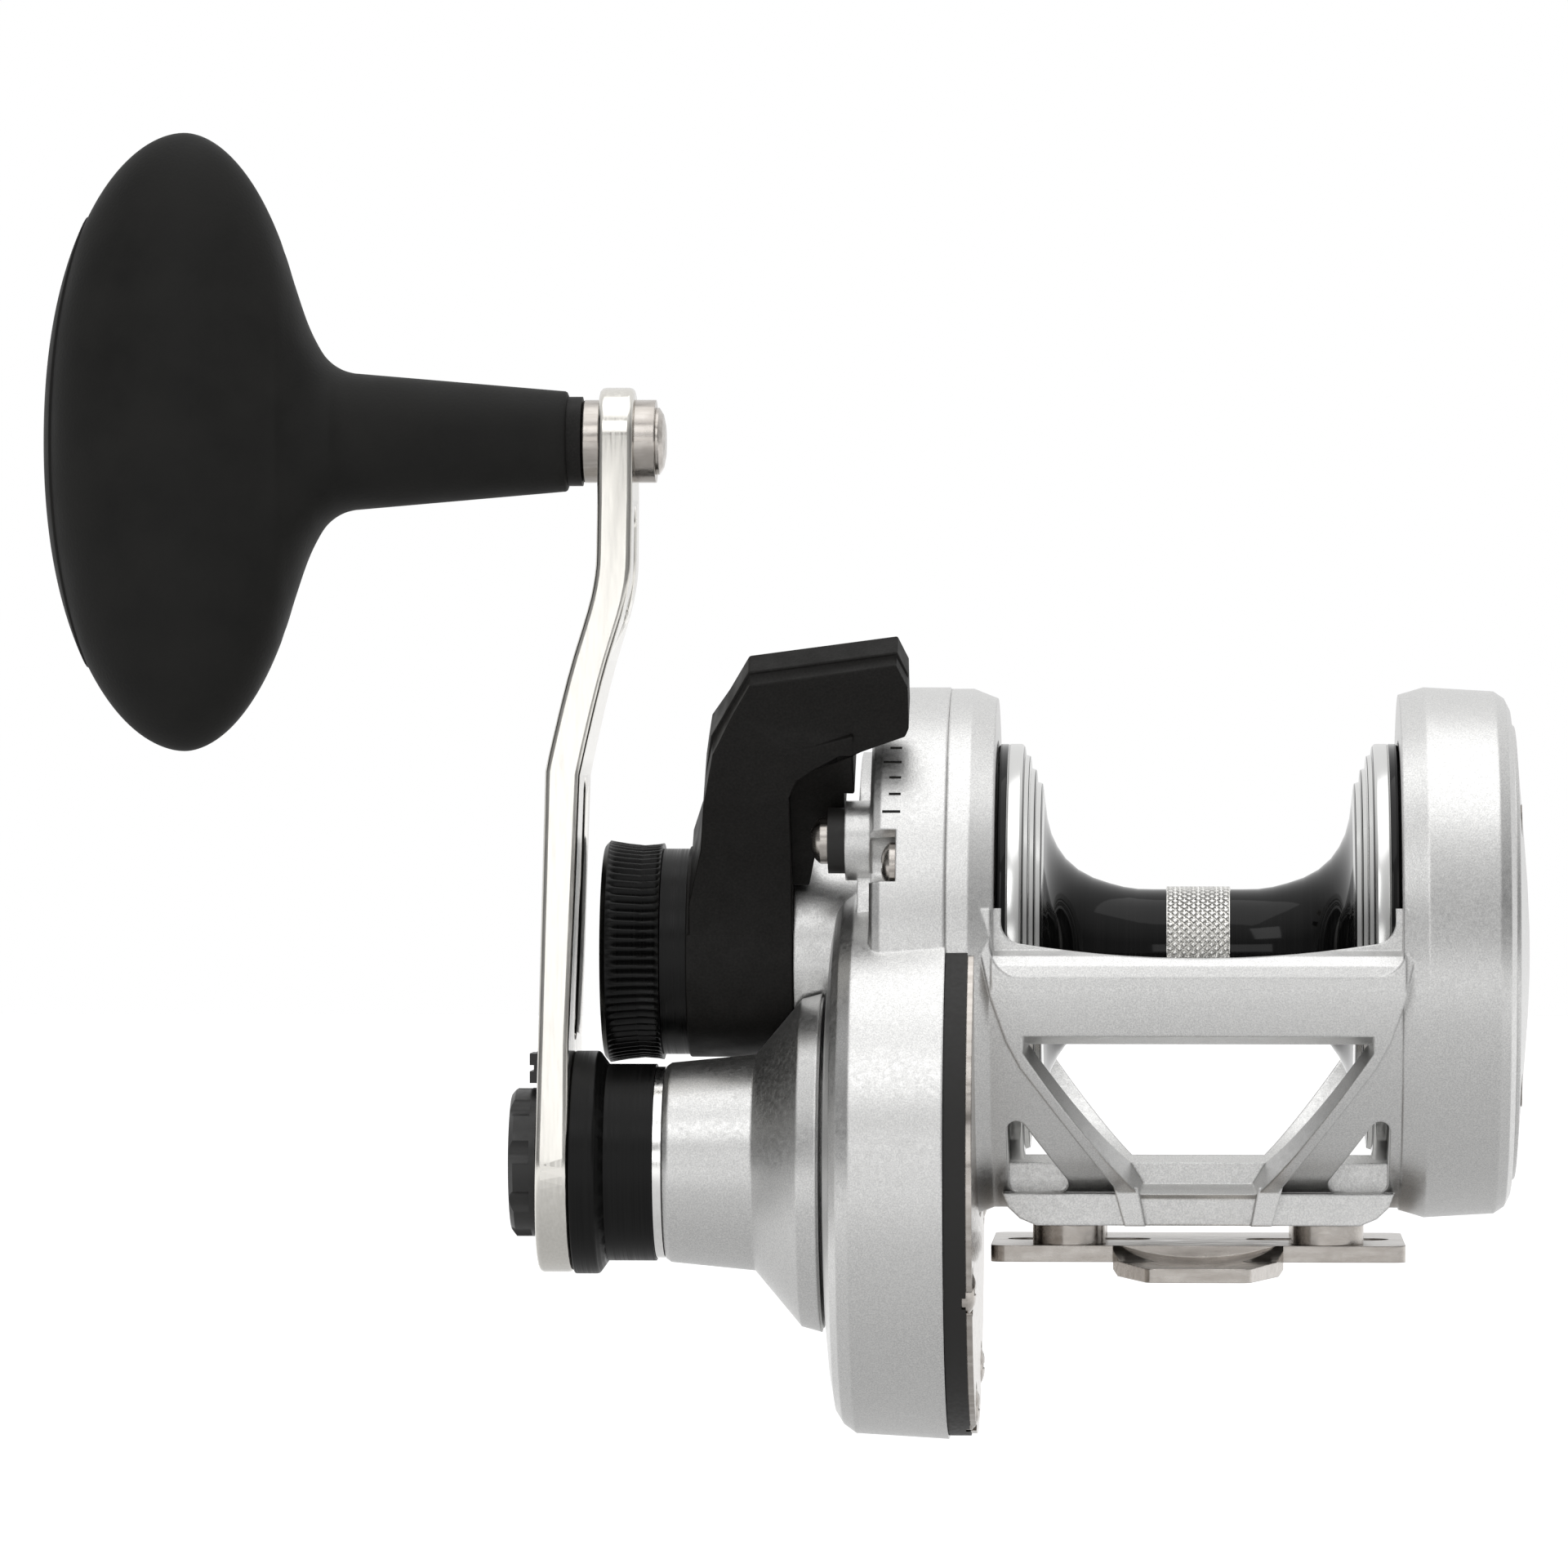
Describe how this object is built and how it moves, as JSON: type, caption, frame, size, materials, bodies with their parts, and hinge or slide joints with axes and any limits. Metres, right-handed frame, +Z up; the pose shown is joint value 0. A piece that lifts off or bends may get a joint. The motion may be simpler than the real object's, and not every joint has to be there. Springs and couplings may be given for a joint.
{
  "type": "trolling reel",
  "caption": "Two-speed lever-drag trolling reel with an open frame, an offset gear case, a handle with a bar grip, and a slotted foot.",
  "frame": {"origin": "middle of the foot plate's underside, 44.5 mm below the spool axis", "axes": "+X along the spool axis towards the palm side, with the handle on -X; -Y towards the angler, +Y towards the rod's tip; +Z up out of the rod"},
  "size_m": [0.2165, 0.0939, 0.1899],
  "materials": {
    "satin_silver": "satin, fine bead-blasted silver",
    "polished_aluminium": "polished",
    "stainless": "bright drawn stainless steel",
    "black_anodised": "semi-gloss black anodised",
    "gloss_black": "gloss black anodised",
    "matte_black": "matte black coated",
    "rubber": "fine pebbled soft touch",
    "seal_black": "black moulded seal",
    "knurled_silver": "bright diamond knurl",
    "bearing_steel": "ground bearing steel",
    "bronze": "machined bronze",
    "carbon": "woven carbon friction washer"
  },
  "bodies": {
    "root": {"frame": "satin_silver", "gear_side_plate": "satin_silver", "palm_side_plate": "satin_silver", "gear_cover": "satin_silver", "hub_trim_ring": "polished_aluminium", "gear_case_seal": "seal_black", "gear_case_back_plate": "stainless", "foot": "stainless", "foot_spacers": "stainless", "foot_screws": "stainless", "side_plate_screws": "stainless", "back_plate_screws": "stainless", "palm_plate_screws": "stainless", "stop_bumpers": "seal_black", "stop_screws": "stainless", "outer_shaft_bearing": "bearing_steel", "one_way_clutch": "bearing_steel", "inner_shaft_bearing": "bearing_steel", "outer_pinion_bearing": "bearing_steel", "inner_pinion_bearing": "bearing_steel", "palm_shaft_bush": "bronze", "anti_reverse_pawls": "stainless"},
    "spool_carriage": {"spool_shaft": "stainless", "cam_follower": "bronze", "preset_springs": "stainless"},
    "spool": {"spool": "gloss_black", "spool_knurled_band": "knurled_silver", "spool_bearings": "bearing_steel", "carbon_drag_washer": "carbon", "click_ratchet": "bronze"},
    "pinion": {"high_pinion": "stainless", "low_pinion": "stainless", "drag_drive_plate": "stainless"},
    "drag_lever": {"drag_lever": "matte_black", "lever_sleeve": "black_anodised", "drag_cam": "bronze"},
    "preset_knob": {"preset_knob": "black_anodised"},
    "handle": {"handle_arm": "polished_aluminium", "hub_plate": "matte_black", "arm_screws": "stainless", "handle_collar": "black_anodised", "drive_shaft": "stainless", "high_speed_gear": "bronze", "anti_reverse_ratchet": "stainless", "knob_spindle": "stainless", "spindle_collar": "stainless", "spindle_rivet": "stainless"},
    "low_gear": {"low_speed_gear": "bronze"},
    "shift_button": {"shift_button": "black_anodised", "shift_rod": "stainless", "gear_key": "stainless"},
    "release_latch": {"release_latch": "matte_black"},
    "knob": {"knob_grip": "rubber", "knob_end_cap": "rubber", "knob_ring": "black_anodised", "knob_bearings": "bearing_steel"},
    "clicker": {"click_pawl": "stainless", "click_button": "matte_black"}
  },
  "joints": [
    {"name": "handle_turn", "type": "hinge", "parent": "root", "child": "handle", "pos_m": [-0.0785, -0.0145, 0.01419], "axis": [1, 0, 0], "continuous": true},
    {"name": "drag_lever_turn", "type": "hinge", "parent": "root", "child": "drag_lever", "pos_m": [-0.066, 0, 0.0445], "axis": [-1, 0, 0], "range_deg": [0, 115]},
    {"name": "shaft_lift", "type": "slide", "parent": "root", "child": "spool_carriage", "axis": [-1, 0, 0], "range_m": [0, 0.00055]},
    {"name": "spool_turn", "type": "hinge", "parent": "spool_carriage", "child": "spool", "pos_m": [0, 0, 0.0445], "axis": [1, 0, 0], "continuous": true},
    {"name": "pinion_turn", "type": "hinge", "parent": "root", "child": "pinion", "pos_m": [-0.045, 0, 0.0445], "axis": [1, 0, 0], "continuous": true},
    {"name": "low_gear_turn", "type": "hinge", "parent": "root", "child": "low_gear", "pos_m": [-0.0434, -0.0145, 0.01419], "axis": [1, 0, 0], "continuous": true},
    {"name": "preset_turn", "type": "hinge", "parent": "spool_carriage", "child": "preset_knob", "pos_m": [-0.082, 0, 0.0445], "axis": [-1, 0, 0], "range_deg": [0, 300]},
    {"name": "shift_push", "type": "slide", "parent": "handle", "child": "shift_button", "axis": [1, 0, 0], "range_m": [0, 0.0032], "stiffness_N_per_m": 400},
    {"name": "latch_slide", "type": "slide", "parent": "handle", "child": "release_latch", "axis": [0, 0, 1], "range_m": [0, 0.0015], "stiffness_N_per_m": 300},
    {"name": "knob_turn", "type": "hinge", "parent": "handle", "child": "knob", "pos_m": [-0.12, -0.0145, 0.11899], "axis": [1, 0, 0], "continuous": true},
    {"name": "click_slide", "type": "slide", "parent": "root", "child": "clicker", "axis": [0, -1, 0], "range_m": [0, 0.004]}
  ],
  "couplings": [
    {"joint": "shaft_lift", "follows": "drag_lever_turn", "m_per_rad": 0.000274},
    {"joint": "spool_turn", "follows": "handle_turn", "ratio": -6},
    {"joint": "pinion_turn", "follows": "handle_turn", "ratio": -6},
    {"joint": "low_gear_turn", "follows": "handle_turn", "ratio": 2}
  ]
}
